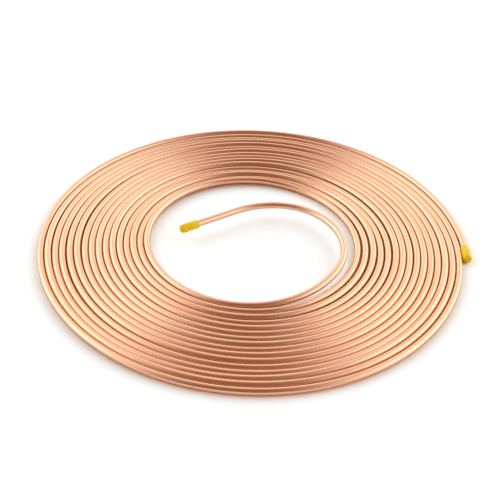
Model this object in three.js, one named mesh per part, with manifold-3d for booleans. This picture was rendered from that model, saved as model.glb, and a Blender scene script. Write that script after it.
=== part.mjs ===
// A flat coil of soft copper tube, as it comes from the mill: sixteen turns wound
// side by side in one layer, with both ends free and a push-on cap on each.
// Millimetres, +Z up. The coil lies on z = 0 and is wound round its own axis,
// inwards and counter-clockwise seen from above, from an outer end at +X.
import * as THREE from 'three';
import { mergeVertices } from 'three/addons/utils/BufferGeometryUtils.js';
import Module from 'manifold-3d';

// Tube and winding
const tubeDiameter = 6.35;
const turnGap = 0.4; // between one turn and the next
const turnCount = 16;
const outerEndRadius = 203.5; // of the centre line, where the outermost turn begins

// Caps
const capBoreClearance = 0.3;
const capWall = 0.7;
const capLength = 18.5;
const capEndWall = 1.4;
const capEndRounding = 2.2;
const capTubeGap = 0.3; // between the tube's end and the floor of the cap
const capDimpleRadius = 1.1;
const capDimpleDepth = 0.5;

// Outer free end: a straight that leaves the winding beside +X, far enough before
// its cap for the cap to lie on the floor and clear of the next turn
const outerTurnLeft = 0.02; // part of a turn, counted from +X
const outerCapClearance = 0.4;

// Inner free end: leaves the innermost turn, is sprung up into the hole and bent
// round in it by hand, and ends in a straight length. The bends' radii are shares
// of the hole's, so that the end stays in the hole.
const innerTurnLeft = 0.68; // part of the innermost turn, counted from +X
const innerBends = [
  { share: 0.95, degrees: 85 },
  { share: 0.64, degrees: 129 },
  { share: 0.81, degrees: 24 },
];
const innerStraight = 59.5;
const innerRise = 10.5;
const innerRiseLength = 268;

// Facets
const tubeSides = 12;
const turnSegments = 44;
const endStepLength = 9.5;
const capSegments = 20;
const capRoundingSteps = 4;

const tubeRadius = tubeDiameter / 2;
const turnPitch = tubeDiameter + turnGap;
const capBore = (tubeRadius + capBoreClearance) / Math.cos(Math.PI / capSegments);
const capOutside = capBore + capWall;
const capDepth = capLength - capEndWall - capTubeGap; // of the tube in its cap
const fullTurn = 2 * Math.PI;
const radians = THREE.MathUtils.degToRad;

const wasm = await Module();
wasm.setup();

function toSolid(geometry) {
  geometry.deleteAttribute('normal');
  geometry.deleteAttribute('uv');
  const merged = mergeVertices(geometry, 1e-5);
  return new wasm.Manifold(new wasm.Mesh({
    numProp: 3,
    vertProperties: new Float32Array(merged.attributes.position.array),
    triVerts: new Uint32Array(merged.index.array),
  }));
}

function toGeometry(solid) {
  const mesh = solid.getMesh();
  const geometry = new THREE.BufferGeometry();
  geometry.setAttribute('position', new THREE.BufferAttribute(mesh.vertProperties, 3));
  geometry.setIndex(new THREE.BufferAttribute(mesh.triVerts, 1));
  geometry.computeVertexNormals();
  return geometry;
}

// Centre line of the winding: one pitch nearer the axis with each turn.
class WoundLine extends THREE.Curve {
  constructor(firstTurn, lastTurn) {
    super();
    this.firstTurn = firstTurn;
    this.lastTurn = lastTurn;
  }

  getPoint(t, target = new THREE.Vector3()) {
    const turn = THREE.MathUtils.lerp(this.firstTurn, this.lastTurn, t);
    const radius = outerEndRadius - turnPitch * turn;
    const angle = fullTurn * turn;
    return target.set(radius * Math.cos(angle), radius * Math.sin(angle), tubeRadius);
  }
}

// Centre line of a free end: arcs that follow one another in plan, then a straight,
// while the height eases up by a given rise.
class BentLine extends THREE.Curve {
  constructor(start, direction, bends, straight, rise, riseLength) {
    super();
    this.start = start;
    this.heading = Math.atan2(direction.y, direction.x);
    this.bends = bends;
    this.rise = rise;
    this.riseLength = riseLength;
    this.planLength = straight;
    for (const bend of bends) this.planLength += bend.radius * radians(bend.degrees);
  }

  getPoint(t, target = new THREE.Vector3()) {
    let left = t * this.planLength;
    let heading = this.heading;
    target.copy(this.start);
    for (const { radius, degrees } of this.bends) {
      const run = Math.min(left, radius * radians(degrees));
      const next = heading + run / radius;
      target.x += radius * (Math.sin(next) - Math.sin(heading));
      target.y -= radius * (Math.cos(next) - Math.cos(heading));
      heading = next;
      left -= run;
    }
    target.x += left * Math.cos(heading);
    target.y += left * Math.sin(heading);
    target.z += this.rise * THREE.MathUtils.smootherstep(t * this.planLength, 0, this.riseLength);
    return target;
  }
}

// Lines end to end, each with its own number of steps, so that a sweep along them
// is as fine as each needs: equal parts of t are equal numbers of steps.
class SteppedLine extends THREE.Curve {
  constructor(...stretches) {
    super();
    this.stretches = stretches;
    this.steps = stretches.reduce((sum, { steps }) => sum + steps, 0);
  }

  getUtoTmapping(u) {
    return u;
  }

  getPoint(t, target = new THREE.Vector3()) {
    let step = t * this.steps;
    for (const { line, steps } of this.stretches) {
      if (step <= steps) return line.getPoint(step / steps, target);
      step -= steps;
    }
    return this.stretches.at(-1).line.getPoint(1, target);
  }
}

// Section of the tube, with a flat at the top and bottom.
function tubeSection() {
  const points = [];
  for (let side = 0; side < tubeSides; side += 1) {
    const angle = fullTurn * (side + 0.5) / tubeSides;
    points.push(new THREE.Vector2(tubeRadius * Math.cos(angle), tubeRadius * Math.sin(angle)));
  }
  return new THREE.Shape(points);
}

// A stretch that lies in the winding, stepped as the turned turns beside it are, and
// the free end that it runs on into.
function stretchWithEnd(firstTurn, leftTurn, bends, straight, rise, riseLength) {
  const held = new WoundLine(firstTurn, leftTurn);
  const end = new BentLine(held.getPoint(1), held.getTangent(1), bends, straight, rise, riseLength);
  return new SteppedLine(
    { line: held, steps: Math.round(Math.abs(leftTurn - firstTurn) * turnSegments) },
    { line: end, steps: Math.ceil(end.planLength / endStepLength) },
  );
}

// The outermost turn, followed outwards. A straight draws away from a round by the
// square of its length over the round's diameter, which gives the length it needs.
function outerStretch() {
  const sidestep = capOutside + outerCapClearance + tubeRadius - turnPitch;
  const lead = Math.sqrt(2 * outerEndRadius * sidestep);
  const lift = capOutside - tubeRadius;
  return stretchWithEnd(1, outerTurnLeft, [], lead + capDepth, lift, lead);
}

// The innermost turn, followed inwards.
function innerStretch() {
  const heldTurns = turnCount - 1 + innerTurnLeft;
  const holeRadius = outerEndRadius - turnPitch * heldTurns;
  const bends = innerBends.map(({ share, degrees }) => ({ radius: share * holeRadius, degrees }));
  return stretchWithEnd(
    turnCount - 1, heldTurns, bends, innerStraight, innerRise, innerRiseLength,
  );
}

// Turned body of the wound turns: each turn has a flat on both faces and a groove
// to the next one, down to a thin web where neighbouring turns all but touch.
function woundTurns() {
  const flat = tubeRadius * Math.tan(Math.PI / 8);
  const web = 0.3 * tubeRadius;
  const firstRadius = outerEndRadius - turnPitch * (turnCount - 1);
  const lastRadius = outerEndRadius - turnPitch;
  const face = (side) => {
    const points = [];
    for (let turn = 0; turn < turnCount - 1; turn += 1) {
      const radius = firstRadius + turn * turnPitch;
      if (turn > 0) points.push(new THREE.Vector2(radius - turnPitch / 2, tubeRadius + side * web));
      points.push(new THREE.Vector2(radius - flat, tubeRadius + side * tubeRadius));
      points.push(new THREE.Vector2(radius + flat, tubeRadius + side * tubeRadius));
    }
    return points;
  };
  const rim = (radius, side) => [
    new THREE.Vector2(radius + side * tubeRadius, tubeRadius - side * flat),
    new THREE.Vector2(radius + side * tubeRadius, tubeRadius + side * flat),
  ];
  const profile = [
    ...face(-1), ...rim(lastRadius, 1), ...face(1).reverse(), ...rim(firstRadius, -1),
  ];
  profile.push(profile[0].clone());
  const turned = new THREE.LatheGeometry(profile, turnSegments);
  turned.rotateX(Math.PI / 2);
  return toSolid(turned);
}

function copperTube() {
  let solid = woundTurns();
  for (const line of [outerStretch(), innerStretch()]) {
    solid = solid.add(toSolid(new THREE.ExtrudeGeometry(tubeSection(), {
      extrudePath: line, steps: line.steps, bevelEnabled: false,
    })));
  }
  return toGeometry(solid);
}

// A cap is a short closed sleeve with a rounded end and a moulding dimple. It is
// turned about its own axis, with its mouth at z = 0 and its closed end above.
function capGeometry() {
  const rounding = Math.min(capEndRounding, capOutside - capDimpleRadius);
  const points = [
    new THREE.Vector2(0, capLength - capEndWall),
    new THREE.Vector2(capBore, capLength - capEndWall),
    new THREE.Vector2(capBore, 0),
    new THREE.Vector2(capOutside, 0),
  ];
  for (let step = 0; step <= capRoundingSteps; step += 1) {
    const angle = Math.PI / 2 * step / capRoundingSteps;
    points.push(new THREE.Vector2(
      capOutside - rounding * (1 - Math.cos(angle)),
      capLength - rounding * (1 - Math.sin(angle)),
    ));
  }
  points.push(new THREE.Vector2(capDimpleRadius, capLength));
  points.push(new THREE.Vector2(0, capLength - capDimpleDepth));
  const turned = new THREE.LatheGeometry(points, capSegments);
  turned.rotateX(Math.PI / 2);
  return toGeometry(toSolid(turned));
}

// A cap seated over the end of a line: its floor stops just short of the tube's end.
function seatedCap(name, line) {
  const outwards = line.getTangent(1);
  const cap = new THREE.Mesh(capGeometry(), yellowPlastic);
  cap.name = name;
  cap.position.copy(line.getPoint(1)).addScaledVector(outwards, -capDepth);
  cap.quaternion.setFromUnitVectors(new THREE.Vector3(0, 0, 1), outwards);
  return cap;
}

const copper = new THREE.MeshStandardMaterial({ color: '#c98a6b', roughness: 0.3, metalness: 1 });
const yellowPlastic = new THREE.MeshStandardMaterial({ color: '#f2c81e', roughness: 0.45, metalness: 0 });

const tube = new THREE.Mesh(copperTube(), copper);
tube.name = 'copper_tube';

const coil = new THREE.Group();
coil.add(tube);
coil.add(seatedCap('outer_end_cap', outerStretch()));
coil.add(seatedCap('inner_end_cap', innerStretch()));

// The origin is under the middle of the coil's box, on the face that it lies on.
const box = new THREE.Box3().setFromObject(coil, true);
coil.position.set(-(box.min.x + box.max.x) / 2, -(box.min.y + box.max.y) / 2, 0);

export default coil;
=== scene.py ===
"""A flat coil of soft copper tube with a push-on cap on each end, on a white floor."""
import math

import bmesh
import bpy
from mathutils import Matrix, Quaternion, Vector


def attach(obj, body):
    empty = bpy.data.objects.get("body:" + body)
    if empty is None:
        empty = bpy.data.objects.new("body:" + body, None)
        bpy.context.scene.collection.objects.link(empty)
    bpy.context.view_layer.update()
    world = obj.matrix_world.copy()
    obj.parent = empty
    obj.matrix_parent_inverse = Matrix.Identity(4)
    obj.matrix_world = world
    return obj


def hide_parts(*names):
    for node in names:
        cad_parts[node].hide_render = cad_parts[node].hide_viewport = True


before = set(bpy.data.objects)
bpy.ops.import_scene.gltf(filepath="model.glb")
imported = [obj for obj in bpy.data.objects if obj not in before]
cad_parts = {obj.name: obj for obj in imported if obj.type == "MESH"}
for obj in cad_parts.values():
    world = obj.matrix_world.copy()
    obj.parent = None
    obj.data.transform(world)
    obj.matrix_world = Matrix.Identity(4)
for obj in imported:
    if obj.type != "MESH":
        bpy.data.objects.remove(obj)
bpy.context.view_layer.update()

# The copper tube. Soft quarter-inch tube, drawn bright and wound flat on a reel in
# one layer, inwards from its outer end at +X. The outer end keeps to the winding up
# to its cap, and the inner end is sprung up out of the innermost turn and bent round.
WINDING_AXIS = Vector((-0.003772, -0.001684, 0.0))
TUBE_DIAMETER = 0.00635
TUBE_RADIUS = TUBE_DIAMETER / 2
TURN_PITCH = TUBE_DIAMETER + 0.0004
TURN_COUNT = 16
OUTER_END_RADIUS = 0.2035
OUTER_TURN_LEFT = 0.0264
OUTER_BEND = 9.0  # degrees on round before the straight that the cap is on
OUTER_STRAIGHT = 0.0038
INNER_TURN_LEFT = TURN_COUNT - 1 + 0.68
INNER_BENDS = ((0.95, 85), (0.64, 129), (0.81, 24))  # share of the hole's radius, degrees
INNER_STRAIGHT = 0.0595
INNER_RISE = 0.0105
INNER_RISE_LENGTH = 0.268
STEPS_A_TURN = 224
END_STEP = 0.0038
HEADING_STEP = 1e-5  # of a turn, which shows the way that the tube points
TUBE_SIDES = 26

# How far the tube goes into a cap, and how wide a cap is. The bore is as wide as the
# corners of a hole of flat sides, which clears the tube at the middle of each side.
CAP_LENGTH = 0.0185
CAP_WALL = 0.0007
CAP_END_WALL = 0.0014
CAP_ROOM = 0.0003
CAP_BORE_SIDES = 20
CAP_BORE = (TUBE_RADIUS + CAP_ROOM) / math.cos(math.pi / CAP_BORE_SIDES)
CAP_OUTSIDE = CAP_BORE + CAP_WALL
CAP_DEPTH = CAP_LENGTH - CAP_END_WALL - CAP_ROOM

# How far the soft tube lies outwards of an even spiral, and above the floor, in tenths
# of a millimetre: every 30 degrees from the outer end, a row a turn.
SLACK_PLACES_A_TURN = 12
SLACK_STEPS_A_METRE = 10000
SLACK_OUTWARDS = (
    -16, -12, -8, -7, -8, -6, -7, -15, -17, -14, -13, -17,
    -16, -16, -15, -15, -15, -10, -8, -12, -13, -11, -12, -16,
    -15, -17, -17, -16, -14, -11, -8, -8, -8, -8, -9, -13,
    -15, -16, -14, -11, -10, -9, -5, -5, -5, -4, -4, -8,
    -14, -15, -11, -9, -8, -9, -7, -7, -5, -1, -2, -6,
    -11, -12, -9, -9, -10, -10, -7, -5, -3, 1, 1, -3,
    -8, -9, -6, -6, -12, -15, -10, -4, 0, 4, 4, 0,
    -5, -6, -6, -7, -10, -12, -7, -1, 3, 7, 7, 3,
    -7, -11, -10, -9, -9, -10, -4, 2, 6, 10, 10, 6,
    -5, -13, -15, -13, -9, -7, -1, 4, 9, 13, 13, 9,
    -2, -17, -22, -18, -11, -3, 3, 7, 10, 14, 14, 7,
    -7, -24, -30, -24, -11, 0, 6, 7, 11, 16, 17, 6,
    -11, -25, -30, -23, -8, 3, 9, 10, 13, 18, 16, 1,
    -12, -21, -24, -17, -2, 9, 14, 13, 12, 12, 9, -5,
    -19, -26, -22, -11, 4, 15, 18, 13, 8, 6, 3, -11,
    -27, -32, -22, -4, 12, 21, 22, 12, 0, 0, 0,
)
SLACK_UPWARDS = (
    2, 7, 12, 10, 10, 8, 7, 10, 10, 5, 1, 1,
    1, 0, 0, 0, 0, 3, 12, 16, 16, 11, 8, 6,
    3, 0, 0, 0, 0, 1, 1, 0, 1, 9, 17, 17,
    12, 9, 13, 15, 11, 5, 1, 0, 0, 0, 1, 2,
    1, 2, 9, 14, 13, 7, 3, 2, 2, 0, 0, 0,
    0, 0, 0, 1, 3, 8, 11, 12, 12, 7, 3, 4,
    7, 11, 14, 13, 5, 0, 1, 4, 5, 8, 10, 7,
    4, 5, 5, 5, 4, 2, 0, 0, 1, 1, 2, 3,
    3, 6, 10, 9, 6, 2, 3, 5, 6, 7, 4, 3,
    6, 14, 20, 18, 11, 4, 0, 0, 0, 0, 0, 1,
    8, 16, 19, 19, 17, 14, 11, 4, 1, 1, 0, 0,
    0, 0, 0, 0, 1, 5, 7, 8, 7, 5, 2, 0,
    0, 0, 0, 0, 0, 0, 0, 1, 2, 0, 0, 0,
    8, 16, 19, 21, 20, 19, 15, 10, 7, 6, 6, 5,
    5, 5, 3, 1, 0, 0, 0, 0, 0, 3, 9, 12,
    5, 1, 10, 23, 23, 17, 8, 1, 0, 0, 0,
)


def slack(table, turn):
    """A smooth curve through a table's values, in metres."""
    place = turn * SLACK_PLACES_A_TURN
    first = math.floor(place)
    share = place - first
    a, b, c, d = (table[min(max(first + step, 0), len(table) - 1)] for step in (-1, 0, 1, 2))
    bend = 2 * a - 5 * b + 4 * c - d + share * (3 * (b - c) + d - a)
    return (b + share * (c - a + share * bend) / 2) / SLACK_STEPS_A_METRE


def wound_point(turn):
    """Centre line of the winding after so many turns from its outer end."""
    radius = OUTER_END_RADIUS - TURN_PITCH * turn + slack(SLACK_OUTWARDS, turn)
    height = TUBE_RADIUS + max(slack(SLACK_UPWARDS, turn), 0.0)
    angle = math.tau * turn
    return WINDING_AXIS + Vector((radius * math.cos(angle), radius * math.sin(angle), height))


def ease(share):
    """0 to 1 with a level start and finish, and no kink at either."""
    share = min(max(share, 0.0), 1.0)
    return share ** 3 * (share * (6 * share - 15) + 10)


def free_end(turn, way, bends, straight, rise, rise_length):
    """Points of an end that leaves the winding: arcs in plan, then a straight, easing up."""
    start = wound_point(turn)
    onward = wound_point(turn + way * HEADING_STEP) - start
    heading = math.atan2(onward.y, onward.x)
    arcs = [(radius, radius * math.radians(degrees)) for radius, degrees in bends]
    length = straight + sum(run for _, run in arcs)
    steps = math.ceil(length / END_STEP)
    points = []
    for step in range(1, steps + 1):
        along = left = length * step / steps
        point, turned = start.copy(), heading
        for radius, run in arcs:
            part = min(left, run)
            point.x += radius * (math.sin(turned + part / radius) - math.sin(turned))
            point.y -= radius * (math.cos(turned + part / radius) - math.cos(turned))
            turned += part / radius
            left -= part
        point.x += left * math.cos(turned)
        point.y += left * math.sin(turned)
        point.z += rise * ease(along / rise_length)
        points.append(point)
    return points


outer_end = free_end(
    OUTER_TURN_LEFT, -1, [(-OUTER_END_RADIUS, -OUTER_BEND)], OUTER_STRAIGHT + CAP_DEPTH,
    CAP_OUTSIDE - TUBE_RADIUS, OUTER_END_RADIUS * math.radians(OUTER_BEND) + OUTER_STRAIGHT,
)
hole_radius = OUTER_END_RADIUS - TURN_PITCH * INNER_TURN_LEFT
inner_end = free_end(
    INNER_TURN_LEFT, 1, [(share * hole_radius, degrees) for share, degrees in INNER_BENDS],
    INNER_STRAIGHT, INNER_RISE, INNER_RISE_LENGTH,
)
wound_steps = round((INNER_TURN_LEFT - OUTER_TURN_LEFT) * STEPS_A_TURN)
wound = [
    wound_point(OUTER_TURN_LEFT + (INNER_TURN_LEFT - OUTER_TURN_LEFT) * step / wound_steps)
    for step in range(wound_steps + 1)
]
centre_line = outer_end[::-1] + wound + inner_end


def length_of(points):
    """Length of a line of points."""
    return sum((b - a).length for a, b in zip(points, points[1:]))


# How far along the tube a turn first lies outside it, and the last turn lies inside it.
turn_outside_from = length_of(outer_end) + math.tau * OUTER_END_RADIUS
turn_inside_to = length_of(outer_end) + length_of(wound) - math.tau * hole_radius


class Nodes:
    """Adds nodes to a tree: their settings first, then the values or links of their sockets."""

    def __init__(self, tree):
        self.tree = tree

    def add(self, kind, settings=None, **sockets):
        """A new node."""
        node = self.tree.nodes.new(kind)
        for name, value in (settings or {}).items():
            setattr(node, name, value)
        self.feed(node, **sockets)
        return node

    def feed(self, node, **sockets):
        """Gives values or links to sockets, named in lower case with _ for a space."""
        for name, value in sockets.items():
            wanted = name.replace("_", " ")
            socket = next(s for s in node.inputs if s.enabled and s.name.lower() == wanted)
            self.put(socket, value)

    def put(self, socket, value):
        """Links a socket or a Value to the socket, and sets it to anything else."""
        value = getattr(value, "socket", value)
        if isinstance(value, bpy.types.NodeSocket):
            self.tree.links.new(value, socket)
        else:
            socket.default_value = value

    def noise(self, place, scale, detail):
        """A Value that wanders about a half from place to place."""
        node = self.add("ShaderNodeTexNoise", vector=place, scale=scale, detail=detail)
        return Value(self, node.outputs["Fac"])

    def blend(self, share, first, second):
        """A colour that goes from the first to the second as the share goes from 0 to 1."""
        node = self.add("ShaderNodeMix", {"data_type": "RGBA"}, factor=share, a=first, b=second)
        return node.outputs[2]

    def axes(self, vector):
        """The three parts of a vector, as Values."""
        parts = self.add("ShaderNodeSeparateXYZ", vector=vector).outputs
        return [Value(self, part) for part in parts]


class Value:
    """A socket of numbers that Python's arithmetic works on, through Math nodes."""

    def __init__(self, nodes, socket):
        self.nodes, self.socket = nodes, socket

    def maths(self, operation, *values):
        """What a Math node makes of the values."""
        node = self.nodes.add("ShaderNodeMath", {"operation": operation})
        for socket, value in zip(node.inputs, values):
            self.nodes.put(socket, value)
        return Value(self.nodes, node.outputs[0])

    def __add__(self, other):
        return self.maths("ADD", self, other)

    def __sub__(self, other):
        return self.maths("SUBTRACT", self, other)

    def __rsub__(self, other):
        return self.maths("SUBTRACT", other, self)

    def __mul__(self, other):
        return self.maths("MULTIPLY", self, other)

    __radd__ = __add__
    __rmul__ = __mul__

    def between(self, low, high):
        """0 below low and 1 above high, with a smooth change between them."""
        node = self.nodes.add(
            "ShaderNodeMapRange", {"interpolation_type": "SMOOTHSTEP"},
            value=self, from_min=low, from_max=high,
        )
        return Value(self.nodes, node.outputs[0])


def swept_tube_tree():
    """Sweeps a round along a line of edges, and keeps where each point is on the tube."""
    tree = bpy.data.node_groups.new("Swept tube", "GeometryNodeTree")
    inputs = {"Line": "Geometry", "Radius": "Float", "Sides": "Int", "Material": "Material"}
    for name, kind in inputs.items():
        tree.interface.new_socket(name, in_out="INPUT", socket_type="NodeSocket" + kind)
    tree.interface.new_socket("Tube", in_out="OUTPUT", socket_type="NodeSocketGeometry")
    nodes = Nodes(tree)
    given = nodes.add("NodeGroupInput").outputs
    place = nodes.add("GeometryNodeSplineParameter").outputs

    def keep(curve, name, value):
        """The curve with a value kept at each of its points, and the kept value."""
        node = nodes.add("GeometryNodeCaptureAttribute", {"domain": "POINT"}, geometry=curve)
        node.capture_items.new("FLOAT", name)
        nodes.put(node.inputs[name], value)
        return node.outputs[0], node.outputs[name]

    line = nodes.add("GeometryNodeMeshToCurve", mesh=given["Line"])
    upright = nodes.add("GeometryNodeSetCurveNormal", {"mode": "Z_UP"}, curve=line.outputs[0])
    path, along = keep(upright.outputs[0], "Along", place["Length"])
    circle = nodes.add(
        "GeometryNodeCurvePrimitiveCircle", resolution=given["Sides"], radius=given["Radius"],
    )
    profile, around = keep(circle.outputs[0], "Around", place["Factor"])
    sweep = nodes.add(
        "GeometryNodeCurveToMesh", curve=path, profile_curve=profile, fill_caps=True,
    )
    angle = Value(nodes, around) * math.tau
    outwards, down = angle.maths("COSINE", angle), angle.maths("SINE", angle)
    on_tube = nodes.add("ShaderNodeCombineXYZ", x=outwards, y=down, z=along)
    stored = nodes.add(
        "GeometryNodeStoreNamedAttribute", {"data_type": "FLOAT_VECTOR", "domain": "POINT"},
        geometry=sweep.outputs[0], name="on_tube", value=on_tube.outputs[0],
    )
    smooth = nodes.add("GeometryNodeSetShadeSmooth", geometry=stored.outputs[0])
    painted = nodes.add(
        "GeometryNodeSetMaterial", geometry=smooth.outputs[0], material=given["Material"],
    )
    real = nodes.add("GeometryNodeRealizeInstances", geometry=painted.outputs[0])
    nodes.add("NodeGroupOutput", tube=real.outputs[0])
    return tree


def finish_named(name):
    """A new material, with its nodes and its surface's shader."""
    material = bpy.data.materials.new(name)
    material.use_nodes = True
    return material, Nodes(material.node_tree), material.node_tree.nodes["Principled BSDF"]


COPPER_TINTS = (0.95, 0.53, 0.34, 1), (0.94, 0.49, 0.30, 1)
# Painted shade where the sides of two turns meet: the copper there is painted duller and less
# red.
COPPER_PAINTED_GROOVE_SHADE = (0.80, 0.66, 0.50, 1)
COPPER_EDGE_TINT = (0.86, 0.90, 0.88, 1)
COPPER_ROUGHNESS = 0.21
DULL_ROUGHNESS = 0.10
LINES_ROUGHNESS = 0.08
LINES_DEPTH = 0.0002
GROOVE_SHADE_FROM, GROOVE_SHADE_TO = -0.56, -0.12  # where the painted groove shade begins and is full, down the tube's side: its top is -1, its foot 1
SIDE_FADE = 0.2  # of the radius: half the width in which the inner side becomes the outer
TURN_FADE = 0.05  # along the tube: half the length in which a turn beside it begins or ends


def drawn_copper():
    """Bright copper with fine lines along the tube, a slow change of tint and a few dull
    patches, and painted shade where the sides of two turns meet, duller and less red."""
    material, nodes, surface = finish_named("drawn copper")
    on_tube = nodes.add("ShaderNodeAttribute", {"attribute_name": "on_tube"}).outputs["Vector"]
    outwards, down, along = nodes.axes(on_tube)

    def streaks(across, along, detail):
        """Noise drawn out along the tube: how fine it is across it, and along it."""
        stretched = nodes.add("ShaderNodeMapping", vector=on_tube, scale=(across, across, along))
        return nodes.noise(stretched.outputs[0], 1.0, detail)

    def after(start):
        """0 before a place along the tube and 1 after it."""
        return along.between(start - TURN_FADE, start + TURN_FADE)

    tint = streaks(across=0.6, along=9.0, detail=2.0).between(0.3, 0.7)
    dull = streaks(across=0.9, along=24.0, detail=3.0).between(0.45, 0.75)
    lines = streaks(across=7.0, along=18.0, detail=4.0)
    outer_side = outwards.between(-SIDE_FADE, SIDE_FADE)
    turn_beside = (outer_side * after(turn_outside_from)
                   + (1.0 - outer_side) * (1.0 - after(turn_inside_to)))
    # Painted shade on the lower side of the tube, wherever a turn lies beside it.
    painted_groove_shade = down.between(GROOVE_SHADE_FROM, GROOVE_SHADE_TO) * turn_beside
    bump = nodes.add("ShaderNodeBump", strength=0.08, distance=LINES_DEPTH, height=lines)
    nodes.feed(
        surface, metallic=1.0, specular_tint=COPPER_EDGE_TINT,
        base_color=nodes.blend(painted_groove_shade, nodes.blend(tint, *COPPER_TINTS), COPPER_PAINTED_GROOVE_SHADE),
        roughness=COPPER_ROUGHNESS + dull * DULL_ROUGHNESS + lines * LINES_ROUGHNESS,
        normal=bump.outputs[0],
    )
    return material


def placed(name, data):
    """A new object in the scene, at the origin."""
    thing = bpy.data.objects.new(name, data)
    bpy.context.scene.collection.objects.link(thing)
    return thing


def piece_from_tree(name, tree, line, values):
    """A plain mesh piece that a tree makes from a line of points."""
    mesh = bpy.data.meshes.new(name)
    mesh.from_pydata(line, [(step, step + 1) for step in range(len(line) - 1)], [])
    maker = placed(name + "_line", mesh)
    modifier = maker.modifiers.new(name, "NODES")
    modifier.node_group = tree
    for item in tree.interface.items_tree:
        if item.item_type == "SOCKET" and item.in_out == "INPUT" and item.name in values:
            modifier[item.identifier] = values[item.name]
    evaluated = maker.evaluated_get(bpy.context.evaluated_depsgraph_get())
    made = bpy.data.meshes.new_from_object(evaluated)
    made.name = name
    bpy.data.objects.remove(maker)
    return placed(name, made)


tube = piece_from_tree("wound_tube", swept_tube_tree(), centre_line, {
    "Radius": TUBE_RADIUS, "Sides": TUBE_SIDES, "Material": drawn_copper(),
})
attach(tube, "root")
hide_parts("copper_tube")

# The end caps. Soft yellow plastic sleeves with a closed, rounded end, dip moulded
# and pushed over the tube to keep it clean and dry inside.
CAP_ROUNDING = 0.0026
CAP_MOUTH_ROUNDING = 0.0003
CAP_DIMPLE_RADIUS = 0.0011
CAP_DIMPLE_DEPTH = 0.0005
CAP_SIDES = 48
CAP_ROUNDING_STEPS = 10
CAP_MOUTH_STEPS = 4
CAP_DIMPLE_STEPS = 5
MERGE_WITHIN = 1e-7
CAP_YELLOWS = (1.0, 0.65, 0.001, 1), (1.0, 0.53, 0.001, 1)


def arc(centre_radius, centre_height, radius, first, last, steps):
    """Points of a round in a cap's section, between two angles in degrees from level."""
    angles = [math.radians(first + (last - first) * step / steps) for step in range(steps + 1)]
    return [
        (centre_radius + radius * math.cos(angle), centre_height + radius * math.sin(angle))
        for angle in angles
    ]


def cap_section():
    """Half section of a cap, from the floor of its bore, round its mouth to its end."""
    section = [(0.0, CAP_LENGTH - CAP_END_WALL), (CAP_BORE, CAP_LENGTH - CAP_END_WALL)]
    lip, end = CAP_MOUTH_ROUNDING, CAP_ROUNDING
    section += arc(CAP_BORE + lip, lip, lip, 180, 270, CAP_MOUTH_STEPS)
    section += arc(CAP_OUTSIDE - lip, lip, lip, 270, 360, CAP_MOUTH_STEPS)
    section += arc(CAP_OUTSIDE - end, CAP_LENGTH - end, end, 0, 90, CAP_ROUNDING_STEPS)
    for step in range(1, CAP_DIMPLE_STEPS + 1):
        share = step / CAP_DIMPLE_STEPS
        depth = CAP_DIMPLE_DEPTH * ease(share)
        section.append((CAP_DIMPLE_RADIUS * (1 - share), CAP_LENGTH - depth))
    return section


def moulded_yellow():
    """Soft yellow plastic, a little cloudy, with a fine grain and a thin gloss."""
    material, nodes, surface = finish_named("moulded yellow")
    place = nodes.add("ShaderNodeTexCoord").outputs["Object"]
    cloud = nodes.noise(place, scale=180.0, detail=3.0)
    grain = nodes.noise(place, scale=1400.0, detail=2.0)
    bump = nodes.add("ShaderNodeBump", strength=0.10, distance=0.0003, height=grain)
    nodes.feed(
        surface, specular_ior_level=0.1, coat_weight=0.25, coat_roughness=0.05,
        subsurface_weight=0.1, subsurface_scale=0.002,
        base_color=nodes.blend(cloud.between(0.35, 0.7), *CAP_YELLOWS),
        roughness=0.30 + cloud * 0.12, normal=bump.outputs[0],
    )
    return material


def end_cap(name, node, tip, before, material):
    """A cap turned about the tube's axis, with its closed end just past the tube's tip."""
    outwards = (tip - before).normalized()
    mouth = tip - outwards * CAP_DEPTH
    turn = outwards.to_track_quat("Z", "Y").to_matrix()
    form = bmesh.new()
    verts = [form.verts.new((radius, 0.0, height)) for radius, height in cap_section()]
    edges = [form.edges.new(pair) for pair in zip(verts, verts[1:])]
    bmesh.ops.spin(
        form, geom=verts + edges, cent=(0, 0, 0), axis=(0, 0, 1),
        angle=math.tau, steps=CAP_SIDES, use_merge=True,
    )
    bmesh.ops.remove_doubles(form, verts=form.verts, dist=MERGE_WITHIN)
    bmesh.ops.recalc_face_normals(form, faces=form.faces)
    for vert in form.verts:
        vert.co = mouth + turn @ vert.co
    for shape_face in form.faces:
        shape_face.smooth = True
    mesh = bpy.data.meshes.new(name)
    form.to_mesh(mesh)
    form.free()
    mesh.materials.append(material)
    cap = placed(name, mesh)
    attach(cap, "root")
    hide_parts(node)


yellow = moulded_yellow()
end_cap("outer_cap", "outer_end_cap", centre_line[0], centre_line[1], yellow)
end_cap("inner_cap", "inner_end_cap", centre_line[-1], centre_line[-2], yellow)

# The floor: a wide sheet of white paper that the coil lies on. Where it is open it
# shows as plain white, and it keeps the coil's shadow. Where copper nearly shuts it in, it has
# painted shade in a copper colour.
FLOOR_SIZE = 12.0
FLOOR_DROP = 0.0002  # under the tube, so that the two never share a plane
FLOOR_WHITE = (0.86, 0.85, 0.83, 1)
FLOOR_SEEN = (1.23, 1.15, 1.12, 1)  # to the camera, so that the open floor shows as plain white
FLOOR_PAINTED_GAP_SHADE = (1.40, 0.60, 0.26, 1)  # painted shade in a copper colour, where copper nearly shuts the floor in
GAP_REACH = 0.006
GAP_SHUT, GAP_OPEN = 0.05, 0.50  # share of the light above that still comes in
MIRRORED_SHARE = 0.35  # of the seen white, which the metal mirrors


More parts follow.
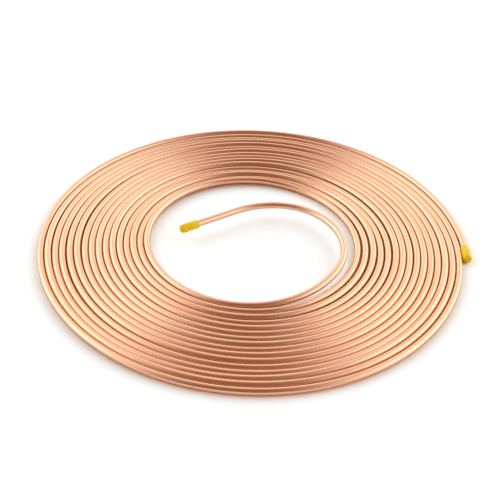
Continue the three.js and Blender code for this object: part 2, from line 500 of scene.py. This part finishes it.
def white_floor():
    """Matt white, as seen by the camera, by the metal and by the light, with painted
    copper-coloured shade where copper nearly shuts it in.
    """
    material, nodes, surface = finish_named("white floor")
    material.node_tree.nodes.remove(surface)
    rays = nodes.add("ShaderNodeLightPath").outputs
    mirrored = Value(nodes, rays["Is Glossy Ray"]) + rays["Is Transmission Ray"]
    # Painted shade: the floor is painted a copper colour where the copper nearly shuts it in.
    above = nodes.add("ShaderNodeAmbientOcclusion", {"samples": 8}, distance=GAP_REACH)
    openness = Value(nodes, above.outputs["AO"]).between(GAP_SHUT, GAP_OPEN)
    seen = nodes.blend(openness, FLOOR_PAINTED_GAP_SHADE, FLOOR_SEEN)
    share_seen = mirrored * MIRRORED_SHARE + rays["Is Camera Ray"]
    matt = nodes.add("ShaderNodeBsdfDiffuse", color=nodes.blend(share_seen, FLOOR_WHITE, seen))
    nodes.feed(material.node_tree.nodes["Material Output"], surface=matt.outputs[0])
    return material


floor_mesh = bpy.data.meshes.new("floor")
floor_corners = [
    (right * FLOOR_SIZE / 2, far * FLOOR_SIZE / 2, 0.0)
    for right, far in ((-1, -1), (1, -1), (1, 1), (-1, 1))
]
floor_mesh.from_pydata(floor_corners, [], [(0, 1, 2, 3)])
floor_mesh.materials.append(white_floor())
floor = placed("floor", floor_mesh)
floor.location.z = -FLOOR_DROP

# The light: the inside of a white tent, brightest at its foot and its two sides and warmer
# behind, with a dim strip overhead that runs to the front. The metal mirrors all of it.
# Places are parts of a direction, from -1 to 1: to the right, to the far side and up.
DIM = (0.28, 0.17, 0.12, 1)
BEHIND = (1.70, 1.70, 1.78, 1)
SIDES = (1.50, 1.96, 2.06, 1)
STRIP_SHIFT = 0.024  # to the right
STRIP_TURN = 0.2  # its front to the left
STRIP_TAPER_FRONT, STRIP_TAPER_BACK = 0.72, 0.54  # wider to the front, narrower to the back
STRIP_EDGE, SIDES_FULL = 0.14, 0.82  # from the strip's middle line
BEHIND_SHARE = 0.70
BEHIND_FULL, BEHIND_FULL_HEIGHT = 1.05, 0.35
FOOT_FULL, FOOT_NONE = 0.04, 0.11  # heights between which the bright foot fades

world = bpy.data.worlds.new("white tent")
bpy.context.scene.world = world
world.use_nodes = True
sky = Nodes(world.node_tree)
right, far, height = sky.axes(sky.add("ShaderNodeTexCoord").outputs["Generated"])
in_front = far.maths("MINIMUM", far, 0.0)
at_back = far.maths("MAXIMUM", far, 0.0)
taper = in_front * STRIP_TAPER_FRONT + at_back * STRIP_TAPER_BACK + 1.0
off_strip = (right - STRIP_SHIFT - in_front * STRIP_TURN) * taper
sides = off_strip.maths("ABSOLUTE", off_strip).between(STRIP_EDGE, SIDES_FULL)
behind = far.between(0.0, BEHIND_FULL) * height.between(0.0, BEHIND_FULL_HEIGHT) * BEHIND_SHARE
bright = sides + behind - sides * behind
foot = 1.0 - height.between(FOOT_FULL, FOOT_NONE)
cloth = sky.blend(bright + foot - bright * foot, DIM, sky.blend(sides, BEHIND, SIDES))
sky.feed(world.node_tree.nodes["Background"], color=cloth, strength=1.0)

# The camera looks down on the coil from the front, very slightly rolled. Its zoom and
# its aim are in pixels of a square frame.
CAMERA_PITCH = math.radians(37.07)
CAMERA_ROLL = math.radians(2.35)
CAMERA_DISTANCE = 0.8356
FOCAL_PIXELS = 870.9
FRAME_PIXELS = 500
AXIS_PIXEL = (252.8, 242.1)  # where the middle of the winding shows
SENSOR_WIDTH = 36.0  # mm

camera_data = bpy.data.cameras.new("camera")
camera_data.sensor_width = SENSOR_WIDTH
camera_data.lens = FOCAL_PIXELS / FRAME_PIXELS * SENSOR_WIDTH
camera_data.shift_x = (FRAME_PIXELS / 2 - AXIS_PIXEL[0]) / FRAME_PIXELS
camera_data.shift_y = (AXIS_PIXEL[1] - FRAME_PIXELS / 2) / FRAME_PIXELS
camera = placed("camera", camera_data)
to_camera = Vector((0.0, -math.cos(CAMERA_PITCH), math.sin(CAMERA_PITCH)))
camera.location = WINDING_AXIS + to_camera * CAMERA_DISTANCE
camera.rotation_mode = "QUATERNION"
camera.rotation_quaternion = (-to_camera).to_track_quat("-Z", "Y")
camera.rotation_quaternion.rotate(Quaternion(to_camera, CAMERA_ROLL))
bpy.context.scene.camera = camera
bpy.context.scene.view_settings.view_transform = "Standard"
